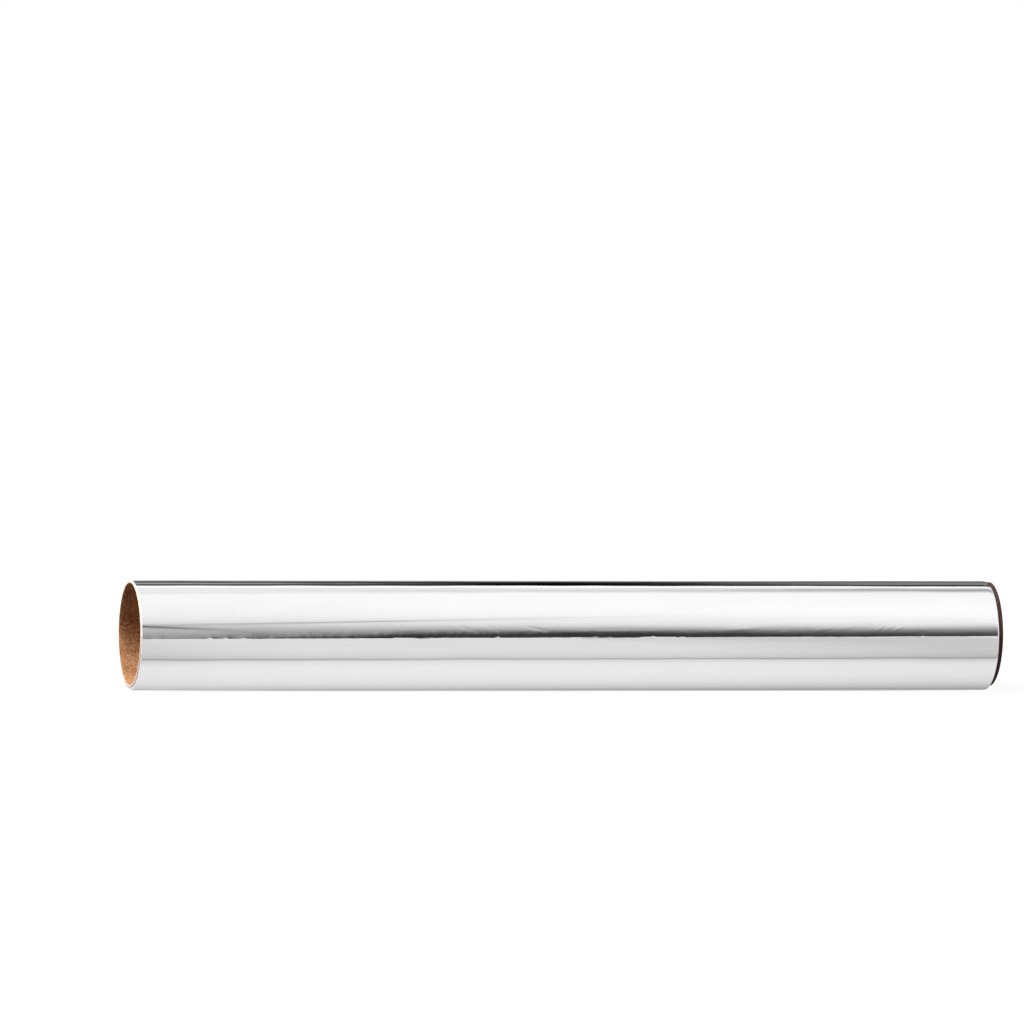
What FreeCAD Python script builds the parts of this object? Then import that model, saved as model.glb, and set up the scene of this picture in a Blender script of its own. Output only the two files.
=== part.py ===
"""Roll of household aluminium foil: a long web of foil wound on a board core, lying on its side.

The roll's axis runs along X, +Z is up and the front, where the foil's free edge shows, faces -Y.
The origin is on the surface that the roll lies on, under the middle of the core.
Lengths are in millimetres and angles in degrees.
"""

import FreeCAD, Part

import os
from math import cos, degrees, pi, radians, sin, sqrt

# The foil: its slit width, its whole length, its gauge, and the share of the wound section that is metal.
# The rest of the section is the air that stays between the turns.
FOIL_WIDTH = 298.0
FOIL_LENGTH = 9000.0
FOIL_GAUGE = 0.0105
WINDING_FILL = 0.97

# The core: a thin board tube a little longer than the foil is wide, so that it stands out at both ends.
CORE_DIAMETER = 35.5
CORE_WALL = 0.6
CORE_OUT_LEFT = 0.4
CORE_OUT_RIGHT = 1.6

# The foil is wound loosely, so it hangs a little lower than the core inside it.
CORE_RISE = 0.5

# The foil's free edge: how far it stands off the roll, how much of the outer turn has come away with it,
# and how far above the horizontal it lies at the front.
TAIL_LIFT = 0.15
TAIL_LOOSE = 7.0
TAIL_ANGLE = 4.8

# The flat spot that soft foil on a thin core gets where the roll lies.
FLAT_WIDTH = 7.0

# The outer turns at the right end are drawn in a little towards their edge.
EDGE_LENGTH = 1.85
EDGE_DROP = 0.12

core_radius = CORE_DIAMETER / 2
bore_radius = core_radius - CORE_WALL
core_length = CORE_OUT_LEFT + FOIL_WIDTH + CORE_OUT_RIGHT
core_left = -core_length / 2
foil_left = core_left + CORE_OUT_LEFT
foil_right = foil_left + FOIL_WIDTH

wound_section = FOIL_LENGTH * FOIL_GAUGE / WINDING_FILL
foil_radius = sqrt(core_radius**2 + wound_section / pi)
axis_height = sqrt(foil_radius**2 - (FLAT_WIDTH / 2) ** 2)
core_height = axis_height + CORE_RISE

ALONG = FreeCAD.Vector(1, 0, 0)


def outward(angle):
    """The direction away from the roll's axis, at an angle from the front up over the top."""
    return FreeCAD.Vector(0, -cos(radians(angle)), sin(radians(angle)))


def tangent_arc(tip, touch, axis):
    """The arc from tip that runs into a circle round axis at the point touch, with no kink."""
    inward = (axis - touch).normalize()
    chord = tip - touch
    radius = chord.dot(chord) / (2 * chord.dot(inward))
    centre = touch + inward * radius
    middle = centre + ((tip - centre) + (touch - centre)).normalize() * radius
    return Part.Arc(tip, middle, touch).toShape()


def round_arc(axis, radius, start, end):
    """The arc round axis from one angle to another."""
    points = [axis + outward(a) * radius for a in (start, (start + end) / 2, end)]
    return Part.Arc(*points).toShape()


def outer_outline(x, inset):
    """The outside of the wound foil at x: free edge, loose stretch, round back, flat spot and front.

    The whole outline shrinks towards the axis, so that its round stretches come in by inset.
    """
    axis = FreeCAD.Vector(x, 0, axis_height)
    shrink = (foil_radius - inset) / foil_radius
    radius = foil_radius * shrink
    half_flat = degrees(FLAT_WIDTH / 2 / foil_radius)
    loose_end = TAIL_ANGLE + degrees(TAIL_LOOSE / foil_radius)
    flat_back = 270 - half_flat
    flat_front = 270 + half_flat
    tip = axis + outward(TAIL_ANGLE) * (foil_radius + TAIL_LIFT) * shrink
    foot = axis + outward(TAIL_ANGLE) * radius
    back = axis + outward(flat_back) * radius
    front = axis + outward(flat_front) * radius
    return Part.Wire(
        [
            tangent_arc(tip, axis + outward(loose_end) * radius, axis),
            round_arc(axis, radius, loose_end, flat_back),
            Part.LineSegment(back, front).toShape(),
            round_arc(axis, radius, flat_front, 360 + TAIL_ANGLE),
            Part.LineSegment(foot, tip).toShape(),
        ]
    )


def make_foil():
    """The wound web, all its turns as one solid."""
    outlines = [
        outer_outline(foil_left, 0),
        outer_outline(foil_right - EDGE_LENGTH, 0),
        outer_outline(foil_right, EDGE_DROP),
    ]
    wound = Part.makeLoft(outlines, True, True)
    start = FreeCAD.Vector(foil_left, 0, core_height)
    return wound.cut(Part.makeCylinder(core_radius, FOIL_WIDTH, start, ALONG))


def make_core():
    """The board tube, cut square at both ends."""
    start = FreeCAD.Vector(core_left, 0, core_height)
    tube = Part.makeCylinder(core_radius, core_length, start, ALONG)
    return tube.cut(Part.makeCylinder(bore_radius, core_length, start, ALONG))


os.makedirs("parts", exist_ok=True)
for name, make in {"wound_foil": make_foil, "core_tube": make_core}.items():
    make().exportStep(f"parts/{name}.step")
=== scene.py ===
from math import atan2, cos, degrees, exp, hypot, pi, radians, sin

import bmesh
import bpy
from mathutils import Matrix, Vector, noise


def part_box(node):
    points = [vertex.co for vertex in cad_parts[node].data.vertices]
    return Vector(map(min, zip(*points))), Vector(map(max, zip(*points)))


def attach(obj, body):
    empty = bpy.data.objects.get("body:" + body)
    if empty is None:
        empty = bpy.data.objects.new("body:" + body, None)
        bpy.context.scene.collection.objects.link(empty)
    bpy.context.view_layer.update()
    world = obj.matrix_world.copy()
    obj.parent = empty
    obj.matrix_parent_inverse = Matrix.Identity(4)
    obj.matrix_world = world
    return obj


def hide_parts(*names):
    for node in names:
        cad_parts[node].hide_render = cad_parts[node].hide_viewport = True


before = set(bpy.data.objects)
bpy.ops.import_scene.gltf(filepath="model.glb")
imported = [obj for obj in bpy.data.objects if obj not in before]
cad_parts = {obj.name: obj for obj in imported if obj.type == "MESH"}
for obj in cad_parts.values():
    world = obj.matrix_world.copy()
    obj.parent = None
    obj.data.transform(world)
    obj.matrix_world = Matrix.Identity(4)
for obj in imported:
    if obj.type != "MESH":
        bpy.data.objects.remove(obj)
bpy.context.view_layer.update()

MM = 0.001

# Sizes in millimetres. The foil's radius is a hair less than the solid model's, so that it stays inside.
FOIL_RADIUS = 18.585
CORE_RADIUS = 17.75
CORE_WALL = 0.6
# The loosely wound foil hangs this much lower than the core inside it.
CORE_RISE = 0.5

# The foil's mesh: facets round the roll, rows along it, and rings on the wound end faces. The rows lie
# closer together at both ends, at these distances from them.
FOIL_FACETS = 232
FOIL_ROWS = 386
END_ROWS = (0.0, 0.12, 0.26, 0.45, 0.75, 1.15, 1.65)
END_RINGS = 7
# How much closer together the facets are at the free edge than round the back.
FACET_CROWDING = 0.6
# How far a facet's middle may lie off the round surface that it stands for.
FACET_SAG = 0.03
# Edges that turn more than this, in degrees, are sharp.
SHARP_ANGLE = 32.0

# The free edge of the foil, in degrees above the horizontal at the front. It wanders and is frayed by
# some degrees, over these lengths along the roll.
EDGE_ANGLE_LEFT = 2.85
EDGE_ANGLE_RIGHT = 6.25
EDGE_WANDER = 0.35
EDGE_WANDER_LENGTH = 22.0
EDGE_FRAY = 0.2
EDGE_FRAY_LENGTH = 2.6
# How far the free edge stands off the roll, how much of the outer turn has come away with it, the width
# of the step down from it, and how far above the edge the loose foil has a shape of its own.
EDGE_LIFT = 0.05
EDGE_LOOSE = 7.0
EDGE_STEP = 0.03
LOOSE_SHAPE_REACH = 12.0
# Small tears in the free edge: place along the roll, width and depth.
EDGE_NICKS = (
    (-126.3, 1.2, 0.35),
    (-120.8, 0.9, 0.30),
    (-114.7, 1.4, 0.25),
    (-27.1, 1.0, 0.55),
    (7.0, 1.2, 0.35),
    (12.2, 0.9, 0.30),
    (26.9, 1.0, 0.35),
    (121.3, 0.9, 0.16),
)
# The distance over which the pull of a tear dies away from the free edge, and where it has stopped.
TEAR_REACH = 0.6
TEAR_STOP = 4.0
# At the left, the free edge springs out straight below two soft folds: how steeply, how wide the
# straight margin is, how far along the roll it goes, how it fades there, and how far the turns behind
# it are pressed in.
MARGIN_TILT = 0.12
MARGIN_WIDTH = 4.0
MARGIN_LENGTH = 105.0
MARGIN_FADE = 0.8
MARGIN_PRESSED = 0.06
# Each fold: where it starts and stops, its distance above the free edge there, its depth and softness.
SOFT_FOLDS = (
    (-190.0, -112.0, 6.05, 2.55, 0.10, 0.19),
    (-165.0, 60.0, 4.3, 7.75, 0.088, 0.14),
)
# Short handling creases: from a place along the roll and a distance above the free edge to another
# such point, then the crease's depth and width. Those with a depth below zero are ridges.
CREASES = (
    (-40.8, 4.6, -33.8, 1.2, 0.028, 0.36),
    (-30.8, 4.6, -26.6, 1.2, 0.032, 0.36),
    (-28.4, 1.6, -26.4, 0.2, 0.018, 0.35),
    (-17.8, 4.0, -9.4, 2.0, 0.028, 0.38),
    (-8.0, 2.0, 30.0, 2.1, -0.010, 0.50),
    (4.0, 2.4, 9.5, 1.0, 0.009, 0.40),
    (51.0, 2.4, 64.0, 2.9, -0.012, 0.50),
    (83.0, 2.2, 91.0, 3.0, -0.010, 0.50),
    (90.0, 2.4, 97.0, 3.2, -0.010, 0.45),
    (104.5, 1.6, 108.0, 3.8, -0.018, 0.42),
    (107.5, 1.8, 111.5, 4.0, -0.018, 0.42),
    (111.0, 1.8, 115.0, 3.6, -0.015, 0.42),
    (117.5, 0.6, 123.0, 1.6, 0.009, 0.40),
)
# Fine wrinkles along the free edge: their depth, their length along the roll, their width and how far
# above the edge they fade.
WRINKLE_DEPTH = 0.007
WRINKLE_LENGTH = 1.9
WRINKLE_WIDTH = 1.1
WRINKLE_REACH = 3.0
# The turn under the free edge is drawn in a little just below it.
HOLLOW_DEPTH = 0.03
HOLLOW_REACH = 1.6

# The soft foil's long shallow ripples and short faint ones: depth, length along the roll and width.
RIPPLES = (
    (0.026, 50.0, 9.0),
    (0.045, 18.0, 4.0),
    (0.008, 9.0, 2.0),
)
# The right end's outer turns are drawn in towards their edge, and crumpled by a share of that. The
# crumples have a length along the roll and a width round it, and the edge itself is turned in.
SOFT_EDGE = 1.85
SOFT_EDGE_DROP = 0.12
CRUMPLE_SHARE = 0.4
CRUMPLE_LENGTH = 1.2
CRUMPLE_WIDTH = 3.0975
EDGE_TURN_IN = 0.05
EDGE_TURN_IN_WIDTH = 0.3
# That edge is uneven and has a small bite, whose angle and width are in degrees.
EDGE_UNEVENNESS = 0.16
UNEVEN_WIDTH = 5.31
BITE_ANGLE = 77.0
BITE_WIDTH = 4.5
BITE_DEPTH = 1.5
BITE_REACH = 4.5
# How far back the edges of single turns lie in the left and right end faces.
STAGGER_LEFT = 0.12
STAGGER_RIGHT = 0.2

# The flat spot starts where a direction points down by more than this sine. It runs softly into the
# round, and the last value makes up for the height that the soft blend adds to it.
UNDERSIDE_SINE = 0.9
FLAT_BLEND = 0.03
FLAT_BLEND_RISE = 0.001

# The core's mesh, the round of its cut rims, which are its edges of more than this many degrees, how far
# in under the foil at the left its outside ply is painted pale, as painted light where it stands out lit,
# and the seam of its spiral-wound plies.
CORE_FACETS = 96
CORE_ROWS = 300
RIM_ROUND = 0.12
RIM_ANGLE = 60.0
PALE_LIT_PLY = 0.5
SEAM_LEAD = 90.0
SEAM_WIDTH = 0.3
SEAM_DEPTH = 0.06
SEAM_PHASE = 1.2

foil_low, foil_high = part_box("wound_foil")
core_low, core_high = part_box("core_tube")
foil_left = foil_low[0] / MM
foil_right = foil_high[0] / MM
core_left = core_low[0] / MM
core_right = core_high[0] / MM
core_height = (core_low[2] + core_high[2]) / 2 / MM
axis_height = core_height - CORE_RISE

# The web's UV map holds lengths in units of this many millimetres.
UV_UNIT = 100.0
# The widths of the web's duller slit margins, in millimetres.
DULL_LEFT = 0.45
DULL_RIGHT = 0.7

# In a noise's place below, a number that stands alone only picks a part of the pattern.


def linear(code):
    """A colour written as sRGB hex, as Blender's linear red, green, blue and alpha."""
    values = [int(code[i : i + 2], 16) / 255 for i in (1, 3, 5)]
    return [v / 12.92 if v <= 0.04045 else ((v + 0.055) / 1.055) ** 2.4 for v in values] + [1.0]


def add_node(tree, kind, inputs=None, stops=None, **settings):
    """Add a node with its settings, its ramp's stops if it has any, and its values and links."""
    made = tree.nodes.new(kind)
    for name, value in settings.items():
        setattr(made, name, value)
    if stops:
        ramp = made.color_ramp.elements
        ramp.remove(ramp[1])
        for i, (place, colour) in enumerate(stops):
            stop = ramp.new(place) if i else ramp[0]
            stop.position = place
            stop.color = linear(colour) if isinstance(colour, str) else (colour, colour, colour, 1.0)
    for key, value in (inputs or {}).items():
        if isinstance(value, bpy.types.NodeSocket):
            tree.links.new(value, made.inputs[key])
        else:
            made.inputs[key].default_value = value
    return made


def new_material(name):
    """An empty material, with its tree and the output that its shader goes to."""
    material = bpy.data.materials.new(name)
    material.use_nodes = True
    material.node_tree.nodes.clear()
    tree = material.node_tree
    return material, tree, add_node(tree, "ShaderNodeOutputMaterial")


def edge_angle(x):
    """Where the free edge lies at x, in degrees above the horizontal at the front."""
    along = (x - core_left) / (core_right - core_left)
    angle = EDGE_ANGLE_LEFT + (EDGE_ANGLE_RIGHT - EDGE_ANGLE_LEFT) * along
    return angle + EDGE_WANDER * noise.noise(Vector((x / EDGE_WANDER_LENGTH, 3.7, 0.2)))


def raggedness(x):
    """How far the free edge is frayed or torn back at x, in degrees."""
    angle = EDGE_FRAY * noise.noise(Vector((x / EDGE_FRAY_LENGTH, 9.1, 4.4)))
    for place, width, depth in EDGE_NICKS:
        nick = max(0.0, 1 - abs(x - place) / width)
        angle += degrees(depth * nick / FOIL_RADIUS)
    return angle


def loose_margin(x, up):
    """How far the foil stands out at x, at a distance up from its free edge."""
    out = EDGE_LIFT * max(0.0, 1 - up / EDGE_LOOSE) ** 2
    reach = 1 - (x - foil_left) / MARGIN_LENGTH
    if reach > 0 and up < MARGIN_WIDTH:
        out += MARGIN_TILT * reach**MARGIN_FADE * MARGIN_WIDTH / 2 * (1 - up / MARGIN_WIDTH) ** 2
    for start, stop, up_start, up_stop, depth, softness in SOFT_FOLDS:
        along = (x - start) / (stop - start)
        if 0 < along < 1:
            from_fold = (up - up_start - (up_stop - up_start) * along) / softness
            out -= depth * sin(pi * along) / (1 + exp(from_fold))
    for x_start, up_start, x_stop, up_stop, depth, width in CREASES:
        if x_start < x < x_stop:
            along = (x - x_start) / (x_stop - x_start)
            away = (up - up_start - (up_stop - up_start) * along) / width
            out -= depth * sin(pi * along) * exp(-away * away)
    wrinkle = noise.noise(Vector((x / WRINKLE_LENGTH, up / WRINKLE_WIDTH, 5.3)))
    return out + WRINKLE_DEPTH * (wrinkle - 0.5) * exp(-up / WRINKLE_REACH)


def foil_surface(x, angle, up_from_edge, down_from_edge):
    """The radius of the foil's outer surface, at x and at an angle in radians.

    The last two arguments are the distances round the roll from the free edge, upwards and downwards.
    """
    radius = FOIL_RADIUS
    across = cos(angle) * FOIL_RADIUS
    height = sin(angle) * FOIL_RADIUS
    for depth, length, width in RIPPLES:
        radius += depth * (noise.noise(Vector((x / length, across / width, height / width))) - 1) / 2
    to_left_end = 1 - (x - foil_left) / MARGIN_LENGTH
    if to_left_end > 0 and across > 0:
        radius -= MARGIN_PRESSED * to_left_end * (across / FOIL_RADIUS) ** 2
    if up_from_edge < LOOSE_SHAPE_REACH:
        radius += loose_margin(x, up_from_edge)
    radius -= HOLLOW_DEPTH * down_from_edge / HOLLOW_REACH * exp(1 - down_from_edge / HOLLOW_REACH)
    to_right_end = foil_right - x
    if to_right_end < SOFT_EDGE:
        soft = (1 - to_right_end / SOFT_EDGE) ** 2
        place = Vector((x / CRUMPLE_LENGTH, across / CRUMPLE_WIDTH, height / CRUMPLE_WIDTH))
        crumpled = 1 + CRUMPLE_SHARE * (noise.noise(place) - 0.5)
        radius -= SOFT_EDGE_DROP * soft * crumpled
        radius -= EDGE_TURN_IN * max(0.0, 1 - to_right_end / EDGE_TURN_IN_WIDTH)
    below = -sin(angle)
    if below > UNDERSIDE_SINE:
        flat = (axis_height + FLAT_BLEND_RISE) / below
        radius = (radius + flat - hypot(radius - flat, FLAT_BLEND)) / 2
    return radius


def uneven_end(x, angle, depth_share):
    """Where along the roll a point of the foil lies, with its end faces and its right edge uneven.

    depth_share is 0 at the core and 1 at the outer surface. Each ring of the end faces between the two
    lies back by its own amount, which changes slowly round the roll.
    """
    between_surfaces = 0.02 < depth_share < 0.98
    if between_surfaces:
        ring = depth_share * (END_RINGS + 2)
        step = 0.5 + 0.5 * noise.noise(Vector((ring, angle / 3, x)))
        x += STAGGER_LEFT * step if x < 0 else -STAGGER_RIGHT * step
    to_right_end = foil_right - x
    if to_right_end < BITE_REACH:
        lobes = FOIL_RADIUS / UNEVEN_WIDTH
        uneven = 0.5 + 0.5 * noise.noise(Vector((cos(angle) * lobes, sin(angle) * lobes, 7.7)))
        bite = max(0.0, 1 - abs(degrees(angle) - BITE_ANGLE) / BITE_WIDTH)
        x -= (EDGE_UNEVENNESS * uneven + BITE_DEPTH * bite) * (1 - to_right_end / BITE_REACH)
    return x


def rolled_tube(mesh, outline, facets):
    """Roll a flat grid into a ring-shaped solid round the X axis, and close its two seams.

    outline is the section's closed line, as pairs of x and radius, with the first pair again at its end.
    """
    last = len(outline) - 1
    bmesh.ops.create_grid(mesh, x_segments=facets, y_segments=last, size=0.5)
    for vert in mesh.verts:
        x, radius = outline[round((vert.co.y + 0.5) * last)]
        angle = 2 * pi * (vert.co.x + 0.5)
        vert.co = Vector((x, -radius * cos(angle), radius * sin(angle)))
    bmesh.ops.remove_doubles(mesh, verts=mesh.verts, dist=0.0001)


def spread(start, stop, count):
    """Evenly spaced numbers from start to stop, both of them among the count."""
    return [start + (stop - start) * i / (count - 1) for i in range(count)]


def finish_piece(mesh, name, materials, body, node):
    """Turn a mesh drawn in millimetres into a piece that stands for a node and rides on a body."""
    bmesh.ops.recalc_face_normals(mesh, faces=mesh.faces)
    bmesh.ops.scale(mesh, vec=(MM, MM, MM), verts=mesh.verts)
    for face in mesh.faces:
        face.smooth = True
    for edge in mesh.edges:
        edge.smooth = edge.calc_face_angle(0) < radians(SHARP_ANGLE)
    data = bpy.data.meshes.new(name)
    mesh.to_mesh(data)
    mesh.free()
    for material in materials:
        data.materials.append(material)
    piece = bpy.data.objects.new(name, data)
    bpy.context.scene.collection.objects.link(piece)
    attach(piece, body)
    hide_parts(node)


def make_foil(materials):
    """The wound foil: its loose free edge, ripples, flat spot and the turns' edges at both ends."""
    mesh = bmesh.new()
    rows = [foil_left + d for d in END_ROWS]
    rows += spread(foil_left + END_ROWS[-1], foil_right - END_ROWS[-1], FOIL_ROWS)[1:-1]
    rows += [foil_right - d for d in reversed(END_ROWS)]
    rings = spread(CORE_RADIUS, FOIL_RADIUS, END_RINGS + 2)
    outline = [(x, FOIL_RADIUS) for x in rows]
    outline += [(foil_right, r) for r in reversed(rings[:-1])]
    outline += [(foil_left, r) for r in rings]
    rolled_tube(mesh, outline, FOIL_FACETS)
    for face in mesh.faces:
        middle = face.calc_center_median()
        depth = FOIL_RADIUS - hypot(middle.y, middle.z)
        face.material_index = 1 if depth > FACET_SAG else 0
    up_layer = mesh.verts.layers.float.new("up_from_edge")
    gap = EDGE_STEP / FOIL_RADIUS
    for vert in mesh.verts:
        x = vert.co.x
        depth_share = (hypot(vert.co.y, vert.co.z) - CORE_RADIUS) / (FOIL_RADIUS - CORE_RADIUS)
        # The share of the way from the free edge once round the roll to the foot of its step.
        turn = atan2(vert.co.z, -vert.co.y) % (2 * pi)
        share = round(turn / (2 * pi) * FOIL_FACETS) % FOIL_FACETS / (FOIL_FACETS - 1)
        from_edge = (2 * pi - gap) * (share - FACET_CROWDING * sin(2 * pi * share) / (2 * pi))
        up = from_edge * FOIL_RADIUS
        down = (2 * pi - gap - from_edge) * FOIL_RADIUS
        angle = radians(edge_angle(x)) + from_edge
        off_edge = min(up, down)
        if off_edge < TEAR_STOP:
            angle += radians(raggedness(x)) * exp(-off_edge / TEAR_REACH)
        radius = CORE_RADIUS + (foil_surface(x, angle, up, down) - CORE_RADIUS) * depth_share
        rise = CORE_RISE * (1 - depth_share)
        x = uneven_end(x, angle, depth_share)
        vert.co = Vector((x, -radius * cos(angle), axis_height + rise + radius * sin(angle)))
        vert[up_layer] = up
    around = mesh.loops.layers.uv.new("around")
    for face in mesh.faces:
        for loop in face.loops:
            loop[around].uv = (loop.vert.co.x / UV_UNIT, loop.vert[up_layer] / UV_UNIT)
    finish_piece(mesh, "foil_web", materials, "root", "wound_foil")


def make_core(materials):
    """The board tube, its mesh twisted to follow the seam of its spiral-wound plies.

    Where it stands out at the left, its outside ply is painted as pale as the cut end: painted light where
    that end is lit.
    """
    mesh = bmesh.new()
    bore = CORE_RADIUS - CORE_WALL
    rows = spread(core_left, core_right, CORE_ROWS)
    outline = [(x, CORE_RADIUS) for x in rows]
    outline += [(x, bore) for x in reversed(rows)]
    rolled_tube(mesh, outline + outline[:1], CORE_FACETS)
    for face in mesh.faces:
        middle = face.calc_center_median()
        radius = hypot(middle.y, middle.z)
        outside = radius > CORE_RADIUS - FACET_SAG
        # Outside faces at the lit left end get the pale cut-end board instead of the dark ply: painted
        # light.
        painted_lit_ply = middle.x < foil_left + PALE_LIT_PLY
        if radius < bore + FACET_SAG:
            face.material_index = 0
        elif outside and not painted_lit_ply:
            face.material_index = 2
        else:
            face.material_index = 1
    rims = [e for e in mesh.edges if e.calc_face_angle(0) > radians(RIM_ANGLE)]
    bmesh.ops.bevel(
        mesh, geom=rims, offset=RIM_ROUND, segments=2, affect="EDGES", profile=0.5, material=-1
    )
    for vert in mesh.verts:
        x = vert.co.x
        radius = hypot(vert.co.y, vert.co.z)
        turn = atan2(vert.co.z, -vert.co.y) % (2 * pi)
        column = round(turn / (2 * pi) * CORE_FACETS) % CORE_FACETS
        if column == 0:
            inside = radius < CORE_RADIUS - CORE_WALL / 2
            radius += SEAM_DEPTH if inside else -SEAM_DEPTH
        if column in (1, CORE_FACETS - 1):
            side = 1 if column == 1 else -1
            turn = side * SEAM_WIDTH / CORE_RADIUS
        angle = turn + 2 * pi * x / SEAM_LEAD + SEAM_PHASE
        vert.co = Vector((x, -radius * cos(angle), core_height + radius * sin(angle)))
    finish_piece(mesh, "core_board", materials, "root", "core_tube")


# Household aluminium foil, rolled thin and soft with its bright side out: a mirror with faint streaks
# along the web, fine rolling lines round the roll, a little haze from handling and duller slit margins.
def bright_foil():
    material, tree, output = new_material("bright_rolled_aluminium_foil")
    place = add_node(tree, "ShaderNodeUVMap", uv_map="around")
    # A scale on this UV map is a number of marks in 100 mm, along the roll and round it. Rolling lines
    # are a few micrometres apart; they are drawn 0.3 mm apart so that they show.
    lines_place = add_node(
        tree, "ShaderNodeMapping", {"Vector": place.outputs["UV"], "Scale": (340.0, 6.0, 1.0)}
    )
    lines = add_node(
        tree, "ShaderNodeTexNoise", {"Vector": lines_place.outputs["Vector"], "Scale": 1.0, "Detail": 3.0}
    )
    # Streaks 0.8 mm wide and about 30 mm long.
    streaks_place = add_node(
        tree, "ShaderNodeMapping", {"Vector": place.outputs["UV"], "Scale": (3.3, 125.0, 1.0)}
    )
    streaks = add_node(
        tree, "ShaderNodeTexNoise", {"Vector": streaks_place.outputs["Vector"], "Scale": 1.0, "Detail": 3.0}
    )
    marks = add_node(
        tree, "ShaderNodeMix", {"Factor": 0.6, "A": lines.outputs["Fac"], "B": streaks.outputs["Fac"]}
    )
    colour = add_node(
        tree,
        "ShaderNodeValToRGB",
        {"Fac": marks.outputs["Result"]},
        stops=[(0.30, "#f1f1f2"), (0.68, "#f6f6f7")],
    )
    # Haze from handling, in patches about 30 mm long and 8 mm wide.
    haze_place = add_node(
        tree, "ShaderNodeMapping", {"Vector": place.outputs["UV"], "Scale": (3.0, 12.0, 1.0)}
    )
    haze = add_node(
        tree, "ShaderNodeTexNoise", {"Vector": haze_place.outputs["Vector"], "Scale": 1.0, "Detail": 4.0}
    )
    clean = add_node(
        tree,
        "ShaderNodeMapRange",
        {"Value": haze.outputs["Fac"], "From Min": 0.3, "From Max": 0.7, "To Min": 0.035, "To Max": 0.075},
    )
    # The slit margins are rougher towards the web's edges.
    parts = add_node(tree, "ShaderNodeSeparateXYZ", {"Vector": place.outputs["UV"]})
    left_margin = add_node(
        tree,
        "ShaderNodeMapRange",
        {
            "Value": parts.outputs["X"],
            "From Min": (foil_left + DULL_LEFT) / UV_UNIT,
            "From Max": foil_left / UV_UNIT,
            "To Max": 0.35,
        },
    )
    right_margin = add_node(
        tree,
        "ShaderNodeMapRange",
        {
            "Value": parts.outputs["X"],
            "From Min": (foil_right - DULL_RIGHT) / UV_UNIT,
            "From Max": foil_right / UV_UNIT,
            "To Max": 0.25,
        },
    )
    margins = add_node(
        tree,
        "ShaderNodeMath",
        {0: left_margin.outputs["Result"], 1: right_margin.outputs["Result"]},
        operation="ADD",
    )
    roughness = add_node(
        tree,
        "ShaderNodeMath",
        {0: clean.outputs["Result"], 1: margins.outputs["Value"]},
        operation="ADD",
    )
    bump = add_node(
        tree, "ShaderNodeBump", {"Height": marks.outputs["Result"], "Strength": 0.06, "Distance": 0.0001}
    )
    shader = add_node(
        tree,
        "ShaderNodeBsdfPrincipled",
        {
            "Base Color": colour.outputs["Color"],
            "Metallic": 1.0,
            "Roughness": roughness.outputs["Value"],
            "Normal": bump.outputs["Normal"],
        },
    )
    tree.links.new(shader.outputs["BSDF"], output.inputs["Surface"])
    return material


# The slit edges of the wound turns: the same aluminium in thousands of thin edges, which scatter the
# light to a pale satin grey with faint rings.
def slit_foil_edges():
    material, tree, output = new_material("slit_aluminium_foil_edges")
    place = add_node(tree, "ShaderNodeTexCoord")
    centred = add_node(
        tree,
        "ShaderNodeMapping",
        {"Vector": place.outputs["Object"], "Location": (0, 0, -axis_height * MM), "Scale": (0, 1, 1)},
    )
    radius = add_node(tree, "ShaderNodeVectorMath", {0: centred.outputs["Vector"]}, operation="LENGTH")
    # The turns are 0.011 mm apart; they are drawn 0.09 mm apart so that they show.
    rings = add_node(
        tree,
        "ShaderNodeTexNoise",
        {"W": radius.outputs["Value"], "Scale": 11000.0, "Detail": 2.0},
        noise_dimensions="1D",
    )
    colour = add_node(
        tree,
        "ShaderNodeValToRGB",
        {"Fac": rings.outputs["Fac"]},
        stops=[(0.3, "#dad8d5"), (0.7, "#f7f5f2")],
    )
    bump = add_node(
        tree, "ShaderNodeBump", {"Height": rings.outputs["Fac"], "Strength": 0.4, "Distance": 0.00005}
    )
    shader = add_node(
        tree,
        "ShaderNodeBsdfPrincipled",
        {
            "Base Color": colour.outputs["Color"],
            "Metallic": 0.25,
            "Roughness": 0.5,
            "Normal": bump.outputs["Normal"],
        },
    )
    tree.links.new(shader.outputs["BSDF"], output.inputs["Surface"])
    return material


def board(name, dark, light, fleck_size, fleck_stretch, bump_depth):
    """Uncoated board: a matt mottle of paper fibres between two colours, with a slight tooth.

    The flecks' size and the tooth's depth are in millimetres, and the flecks are stretched along X.
    """
    material, tree, output = new_material(name)
    place = add_node(tree, "ShaderNodeTexCoord")
    stretched = add_node(
        tree,
        "ShaderNodeMapping",
        {"Vector": place.outputs["Object"], "Scale": (1 / fleck_stretch, 1.0, 1.0)},
    )
    flecks = add_node(
        tree,
        "ShaderNodeTexNoise",
        {
            "Vector": stretched.outputs["Vector"],
            "Scale": 1 / (fleck_size * MM),
            "Detail": 4.0,
            "Roughness": 0.65,
        },
    )
    # Fainter clouds, about 8 mm across, lie under the flecks.
    clouds = add_node(
        tree, "ShaderNodeTexNoise", {"Vector": place.outputs["Object"], "Scale": 120.0, "Detail": 2.0}
    )
    mottle = add_node(
        tree,
        "ShaderNodeMix",
        {"Factor": 0.3, "A": flecks.outputs["Fac"], "B": clouds.outputs["Fac"]},
    )
    colour = add_node(
        tree,
        "ShaderNodeValToRGB",
        {"Fac": mottle.outputs["Result"]},
        stops=[(0.35, dark), (0.65, light)],
    )
    bump = add_node(
        tree,
        "ShaderNodeBump",
        {"Height": flecks.outputs["Fac"], "Strength": 0.6, "Distance": bump_depth * MM},
    )
    shader = add_node(
        tree,
        "ShaderNodeBsdfPrincipled",
        {
            "Base Color": colour.outputs["Color"],
            "Roughness": 0.9,
            "Specular IOR Level": 0.25,
            "Normal": bump.outputs["Normal"],
        },
    )
    tree.links.new(shader.outputs["BSDF"], output.inputs["Surface"])
    return material
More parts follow.
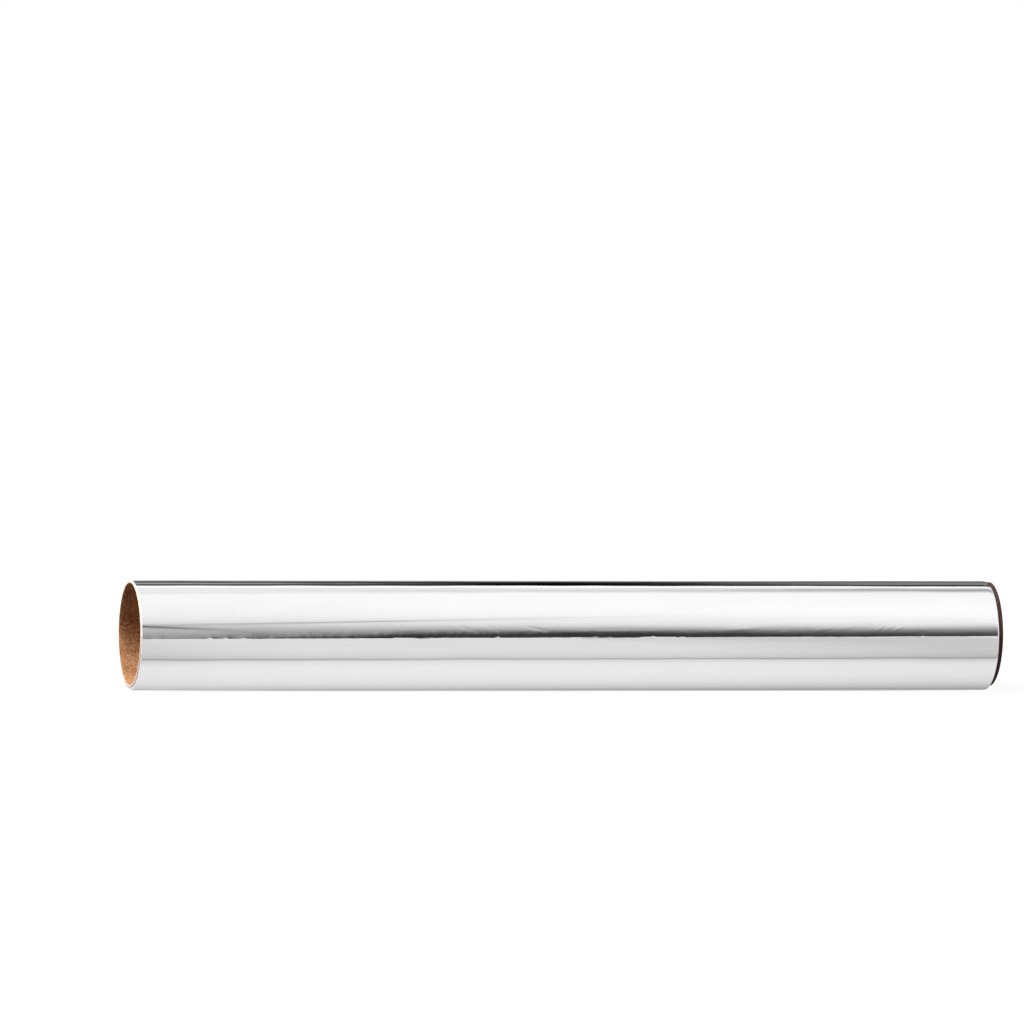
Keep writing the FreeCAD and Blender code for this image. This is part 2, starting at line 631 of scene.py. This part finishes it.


# Kraft board, wound in a spiral from recycled paper: the inside ply is a warm light brown, the cut end
# shows pale torn fibres, and the outside ply is dark brown, partly its own colour and partly painted shade.
inner_ply = board("kraft_board_inside_ply", "#7e412a", "#dbab7a", 0.42, 2.2, 0.5)
cut_board = board("kraft_board_cut_end", "#dfc8b4", "#f2dfd0", 0.3, 1, 0.04)
# The outside ply's dark colour is partly painted shade where it stands out past the foil at the right.
outer_ply = board("kraft_board_outside_ply", "#341f1d", "#644c47", 0.7, 1, 0.06)

make_foil([bright_foil(), slit_foil_edges()])
make_core([inner_ply, cut_board, outer_ply])


# The floor's sizes, in metres: how far it goes, how far either side of the roll the sheet under it is
# drawn, how much that sheet lies askew along the roll, and where the painted shadow under the roll starts
# to fade and has faded, measured across from its line of contact and along from its middle.
FLOOR_REACH = 1.5
SHEET_BAND = 0.05
SHEET_ASKEW = 0.0097
SHADE_ACROSS = (0.0035, 0.0072)
SHADE_ALONG = (0.08, 0.15)
# How brightly the floor glows to the camera in that painted shadow and in the open.
PAINTED_SHADOW_LIGHT = 0.40
OPEN_LIGHT = 0.92


# The floor: plain white to the camera, with the roll's soft shadow on it, partly real and partly a painted
# contact shadow; to the foil it glows with painted light, a pale table brighter on the sheet that the roll
# lies on, with a painted dark line at the sheet's edge and painted shade close under the roll.
def make_floor():
    mesh = bmesh.new()
    bmesh.ops.create_grid(mesh, x_segments=1, y_segments=1, size=FLOOR_REACH)
    data = bpy.data.meshes.new("floor")
    mesh.to_mesh(data)
    mesh.free()
    floor = bpy.data.objects.new("floor", data)
    bpy.context.scene.collection.objects.link(floor)
    material, tree, output = new_material("white_floor")
    path = add_node(tree, "ShaderNodeLightPath")
    place = add_node(tree, "ShaderNodeTexCoord")
    parts = add_node(tree, "ShaderNodeSeparateXYZ", {"Vector": place.outputs["Object"]})
    askew = add_node(
        tree,
        "ShaderNodeMath",
        {0: parts.outputs["X"], 1: SHEET_ASKEW, 2: parts.outputs["Y"]},
        operation="MULTIPLY_ADD",
    )
    off_axis = add_node(tree, "ShaderNodeMath", {0: askew.outputs["Value"]}, operation="ABSOLUTE")
    # The share of the band either side of the roll's axis. The sheet's edge is at 0.6.
    share = add_node(
        tree,
        "ShaderNodeMath",
        {0: off_axis.outputs["Value"], 1: SHEET_BAND},
        operation="DIVIDE",
        use_clamp=True,
    )
    # Painted light and shade for the foil to mirror: the floor's glow by distance from the roll's axis.
    painted_table_light = add_node(
        tree,
        "ShaderNodeValToRGB",
        {"Fac": share.outputs["Value"]},
        stops=[
            (0.0, 0.20),
            (0.06, 0.35),
            (0.09, 0.47),
            (0.13, 0.63),
            (0.19, 0.79),
            (0.24, 0.86),
            (0.30, 0.90),
            (0.42, 0.91),
            (0.50, 0.87),
            (0.55, 0.81),
            (0.582, 0.72),
            (0.603, 0.44),
            (0.618, 0.44),
            (0.634, 0.64),
            (0.67, 0.69),
            (0.75, 0.75),
            (1.0, 0.81),
        ],
    )
    # Beyond the sheet the table's painted light fades towards the roll's ends.
    along = add_node(
        tree,
        "ShaderNodeMapRange",
        {"Value": parts.outputs["X"], "From Min": -0.15, "From Max": 0.16},
    )
    ends = add_node(
        tree,
        "ShaderNodeValToRGB",
        {"Fac": along.outputs["Result"]},
        stops=[(0, 0.84), (0.1, 0.94), (0.2, 1), (0.64, 0.99), (0.8, 0.89), (0.955, 0.79)],
    )
    past_sheet = add_node(
        tree,
        "ShaderNodeMapRange",
        {"Value": share.outputs["Value"], "From Min": 0.45, "From Max": 0.62, "To Min": 0.25},
    )
    dimmed = add_node(
        tree,
        "ShaderNodeMix",
        {
            "Factor": past_sheet.outputs["Result"],
            "A": painted_table_light.outputs["Color"],
            "B": ends.outputs["Color"],
        },
        data_type="RGBA",
        blend_type="MULTIPLY",
    )
    painted_glow_for_foil = add_node(
        tree, "ShaderNodeEmission", {"Color": dimmed.outputs["Result"], "Strength": 1.0}
    )
    # To the camera the floor's grey leans to blue, which evens out the warm light on it.
    lit = add_node(tree, "ShaderNodeBsdfDiffuse", {"Color": (0.14, 0.14, 0.14, 1.0)})
    lit_for_camera = add_node(tree, "ShaderNodeBsdfDiffuse", {"Color": (0.15, 0.17, 0.19, 1.0)})
    # Close along the line where the roll touches it, the floor's glow to the camera is darkened: a painted
    # contact shadow, which fades towards the roll's ends.
    from_middle = add_node(tree, "ShaderNodeMath", {0: parts.outputs["X"]}, operation="ABSOLUTE")
    from_axis = add_node(tree, "ShaderNodeMath", {0: parts.outputs["Y"]}, operation="ABSOLUTE")
    beside_roll = add_node(
        tree,
        "ShaderNodeMapRange",
        {
            "Value": from_axis.outputs["Value"],
            "From Min": SHADE_ACROSS[0],
            "From Max": SHADE_ACROSS[1],
            "To Min": PAINTED_SHADOW_LIGHT,
            "To Max": OPEN_LIGHT,
        },
    )
    towards_ends = add_node(
        tree,
        "ShaderNodeMapRange",
        {
            "Value": from_middle.outputs["Value"],
            "From Min": SHADE_ALONG[0],
            "From Max": SHADE_ALONG[1],
            "To Min": PAINTED_SHADOW_LIGHT,
            "To Max": OPEN_LIGHT,
        },
    )
    painted_shadow_level = add_node(
        tree,
        "ShaderNodeMath",
        {0: beside_roll.outputs["Result"], 1: towards_ends.outputs["Result"]},
        operation="MAXIMUM",
    )
    paper_glow_with_painted_shadow = add_node(
        tree,
        "ShaderNodeEmission",
        {"Color": (1.0, 1.0, 1.0, 1.0), "Strength": painted_shadow_level.outputs["Value"]},
    )
    for_camera = add_node(
        tree, "ShaderNodeAddShader", {0: lit_for_camera.outputs["BSDF"], 1: paper_glow_with_painted_shadow.outputs["Emission"]}
    )
    other = add_node(
        tree,
        "ShaderNodeMixShader",
        {
            "Fac": path.outputs["Is Glossy Ray"],
            1: lit.outputs["BSDF"],
            2: painted_glow_for_foil.outputs["Emission"],
        },
    )
    final = add_node(
        tree,
        "ShaderNodeMixShader",
        {
            "Fac": path.outputs["Is Camera Ray"],
            1: other.outputs["Shader"],
            2: for_camera.outputs["Shader"],
        },
    )
    tree.links.new(final.outputs["Shader"], output.inputs["Surface"])
    data.materials.append(material)


# What the foil sees of the studio, as degrees over the top from the front horizon and a light level:
# the room's dark floor line and grey front, the long soft light overhead, and the dark screen behind
# with a seam in it. The three lists are what the left, the middle and the right of the roll mirror.
STUDIO_FRONT = [(0, 0.78), (2.4, 0.76), (3.4, 0.05)]
STUDIO_LEFT = STUDIO_FRONT + [
    (9, 0.08),
    (11, 0.16),
    (13, 0.32),
    (16, 0.40),
    (20, 0.51),
    (24, 0.60),
    (28, 0.68),
    (32, 0.78),
    (36, 0.85),
    (50, 0.96),
    (64, 0.99),
    (78, 1.03),
    (101, 1.03),
    (104, 0.97),
    (106, 0.87),
    (109, 0.93),
    (119, 0.94),
    (123, 0.88),
    (127, 1.10),
    (134.2, 1.10),
    (135.0, 0.08),
    (141.5, 0.08),
    (144.5, 0.40),
    (149, 0.40),
    (152, 0.08),
    (161, 0.07),
    (166, 0.50),
    (180, 0.90),
]
STUDIO_MIDDLE = STUDIO_FRONT + [
    (7, 0.03),
    (10, 0.03),
    (13, 0.07),
    (15.5, 0.15),
    (19, 0.33),
    (21, 0.46),
    (24, 0.58),
    (28, 0.79),
    (33, 0.88),
    (40, 0.93),
    (50, 1.02),
    (64, 1.07),
    (104, 1.06),
    (107, 1.03),
    (110.5, 0.90),
    (113.5, 0.76),
    (117, 0.81),
    (121, 0.84),
    (125, 0.87),
    (128, 1.07),
    (129.5, 1.10),
    (135.7, 1.10),
    (136.4, 0.0),
    (146, 0.0),
    (158, 0.02),
    (166, 0.40),
    (180, 0.95),
]
STUDIO_RIGHT = STUDIO_FRONT + [
    (7, 0.05),
    (11, 0.07),
    (14.5, 0.13),
    (18.5, 0.26),
    (21, 0.38),
    (24, 0.52),
    (28, 0.74),
    (33, 0.89),
    (37, 0.97),
    (50, 1.07),
    (64, 1.09),
    (104, 1.02),
    (109, 0.98),
    (112, 0.82),
    (115, 0.58),
    (118, 0.38),
    (121, 0.43),
    (124.5, 0.68),
    (128, 0.95),
    (130, 1.05),
    (134.4, 1.10),
    (135.0, 0.0),
    (140, 0.02),
    (143, 0.16),
    (148, 0.26),
    (156, 0.20),
    (166, 0.14),
    (180, 0.25),
]


# How far to the right a mirrored direction points where the roll's middle takes over from its left, and
# its right from its middle.
TO_MIDDLE = (0.217, 0.236)
TO_RIGHT = (0.250, 0.266)
# The warm soft light on the board: its colour, its level all round and what the front adds to it.
WARM_COLOUR = (1.0, 0.78, 0.64, 1.0)
LIGHT_ALL_ROUND = 0.28
LIGHT_FROM_FRONT = 0.9


# The studio: white to the camera, and to the foil a long soft light overhead.
def make_studio():
    world = bpy.data.worlds.new("studio")
    bpy.context.scene.world = world
    world.use_nodes = True
    tree = world.node_tree
    tree.nodes.clear()
    output = add_node(tree, "ShaderNodeOutputWorld")
    path = add_node(tree, "ShaderNodeLightPath")
    place = add_node(tree, "ShaderNodeTexCoord")
    parts = add_node(tree, "ShaderNodeSeparateXYZ", {"Vector": place.outputs["Generated"]})
    front = add_node(tree, "ShaderNodeMath", {0: parts.outputs["Y"], 1: -1.0}, operation="MULTIPLY")
    angle = add_node(
        tree, "ShaderNodeMath", {0: parts.outputs["Z"], 1: front.outputs["Value"]}, operation="ARCTAN2"
    )
    share = add_node(
        tree, "ShaderNodeMath", {0: angle.outputs["Value"], 1: pi}, operation="DIVIDE", use_clamp=True
    )
    ramps = [
        add_node(
            tree,
            "ShaderNodeValToRGB",
            {"Fac": share.outputs["Value"]},
            stops=[(degree / 180, level) for degree, level in levels],
        )
        for levels in (STUDIO_LEFT, STUDIO_MIDDLE, STUDIO_RIGHT)
    ]
    to_middle = add_node(
        tree,
        "ShaderNodeMapRange",
        {"Value": parts.outputs["X"], "From Min": TO_MIDDLE[0], "From Max": TO_MIDDLE[1]},
    )
    to_right = add_node(
        tree,
        "ShaderNodeMapRange",
        {"Value": parts.outputs["X"], "From Min": TO_RIGHT[0], "From Max": TO_RIGHT[1]},
    )
    left_part = add_node(
        tree,
        "ShaderNodeMix",
        {
            "Factor": to_middle.outputs["Result"],
            "A": ramps[0].outputs["Color"],
            "B": ramps[1].outputs["Color"],
        },
        data_type="RGBA",
    )
    studio = add_node(
        tree,
        "ShaderNodeMix",
        {
            "Factor": to_right.outputs["Result"],
            "A": left_part.outputs["Result"],
            "B": ramps[2].outputs["Color"],
        },
        data_type="RGBA",
    )
    # A narrow white card, which only the rounded right end of the foil turns towards.
    card = add_node(
        tree,
        "ShaderNodeValToRGB",
        {"Fac": parts.outputs["X"]},
        stops=[(0.47, 0.0), (0.52, 0.9), (0.80, 0.9), (0.85, 0.0)],
    )
    studio = add_node(
        tree,
        "ShaderNodeMix",
        {
            "Factor": card.outputs["Color"],
            "A": studio.outputs["Result"],
            "B": (1.0, 1.0, 1.0, 1.0),
        },
        data_type="RGBA",
    )
    # Matt board sees the same studio as one warm soft light, which is stronger from the front and right.
    from_front = add_node(
        tree,
        "ShaderNodeMapRange",
        {"Value": parts.outputs["Y"], "From Min": 0.0, "From Max": -0.9, "To Max": LIGHT_FROM_FRONT},
    )
    from_right = add_node(
        tree,
        "ShaderNodeMapRange",
        {"Value": parts.outputs["X"], "From Min": -0.05, "From Max": 0.2},
    )
    soft_light = add_node(
        tree,
        "ShaderNodeMath",
        {0: from_front.outputs["Result"], 1: from_right.outputs["Result"], 2: LIGHT_ALL_ROUND},
        operation="MULTIPLY_ADD",
    )
    warm_light = add_node(
        tree,
        "ShaderNodeMix",
        {
            "Factor": soft_light.outputs["Value"],
            "A": (0.0, 0.0, 0.0, 1.0),
            "B": WARM_COLOUR,
        },
        data_type="RGBA",
        clamp_factor=False,
    )
    lit = add_node(
        tree,
        "ShaderNodeMix",
        {
            "Factor": path.outputs["Is Glossy Ray"],
            "A": warm_light.outputs["Result"],
            "B": studio.outputs["Result"],
        },
        data_type="RGBA",
    )
    seen = add_node(
        tree,
        "ShaderNodeMix",
        {
            "Factor": path.outputs["Is Camera Ray"],
            "A": lit.outputs["Result"],
            "B": (1.0, 1.0, 1.0, 1.0),
        },
        data_type="RGBA",
    )
    background = add_node(
        tree, "ShaderNodeBackground", {"Color": seen.outputs["Result"], "Strength": 1.0}
    )
    tree.links.new(background.outputs["Background"], output.inputs["Surface"])


# The open left end of the core, in metres, which both lamps are turned to.
LEFT_END = (-0.15, 0.0, 0.018)


def add_softbox(name, spot, size, power):
    """A square soft lamp at a spot, in metres, turned to the left end."""
    data = bpy.data.lights.new(name, "AREA")
    data.size = size
    data.energy = power
    lamp = bpy.data.objects.new(name, data)
    bpy.context.scene.collection.objects.link(lamp)
    lamp.location = spot
    lamp.rotation_euler = (Vector(LEFT_END) - Vector(spot)).to_track_quat("-Z", "Y").to_euler()


# The camera, as the photograph was taken: from far off to the left, a little above the roll, and turned
# so that the roll lies level in the picture. Angles are in degrees, places in metres and the lens in
# millimetres.
CAMERA_AZIMUTH = -13.95
CAMERA_ELEVATION = 6.213
CAMERA_DISTANCE = 4.5
CAMERA_TARGET = (-0.01892, 0.0, 0.06024)
CAMERA_TILT = 1.687
CAMERA_LENS = 468.25


def place_camera():
    data = bpy.data.cameras.new("camera")
    data.lens = CAMERA_LENS
    camera = bpy.data.objects.new("camera", data)
    bpy.context.scene.collection.objects.link(camera)
    bpy.context.scene.camera = camera
    azimuth = radians(CAMERA_AZIMUTH)
    elevation = radians(CAMERA_ELEVATION)
    back = Vector((sin(azimuth) * cos(elevation), -cos(azimuth) * cos(elevation), sin(elevation)))
    right = Vector((cos(azimuth), sin(azimuth), 0))
    up = back.cross(right)
    facing = Matrix((right, up, back)).transposed()
    turned = facing @ Matrix.Rotation(radians(CAMERA_TILT), 3, "Z")
    spot = Vector(CAMERA_TARGET) + back * CAMERA_DISTANCE
    camera.matrix_world = Matrix.Translation(spot) @ turned.to_4x4()


make_floor()
make_studio()
add_softbox("overhead_softbox", spot=(-0.68, -0.2, 1.4), size=0.7, power=27)
add_softbox("left_card", spot=(-1.9, -0.2, 0.3), size=0.6, power=22)
place_camera()
bpy.context.scene.view_settings.view_transform = "Standard"
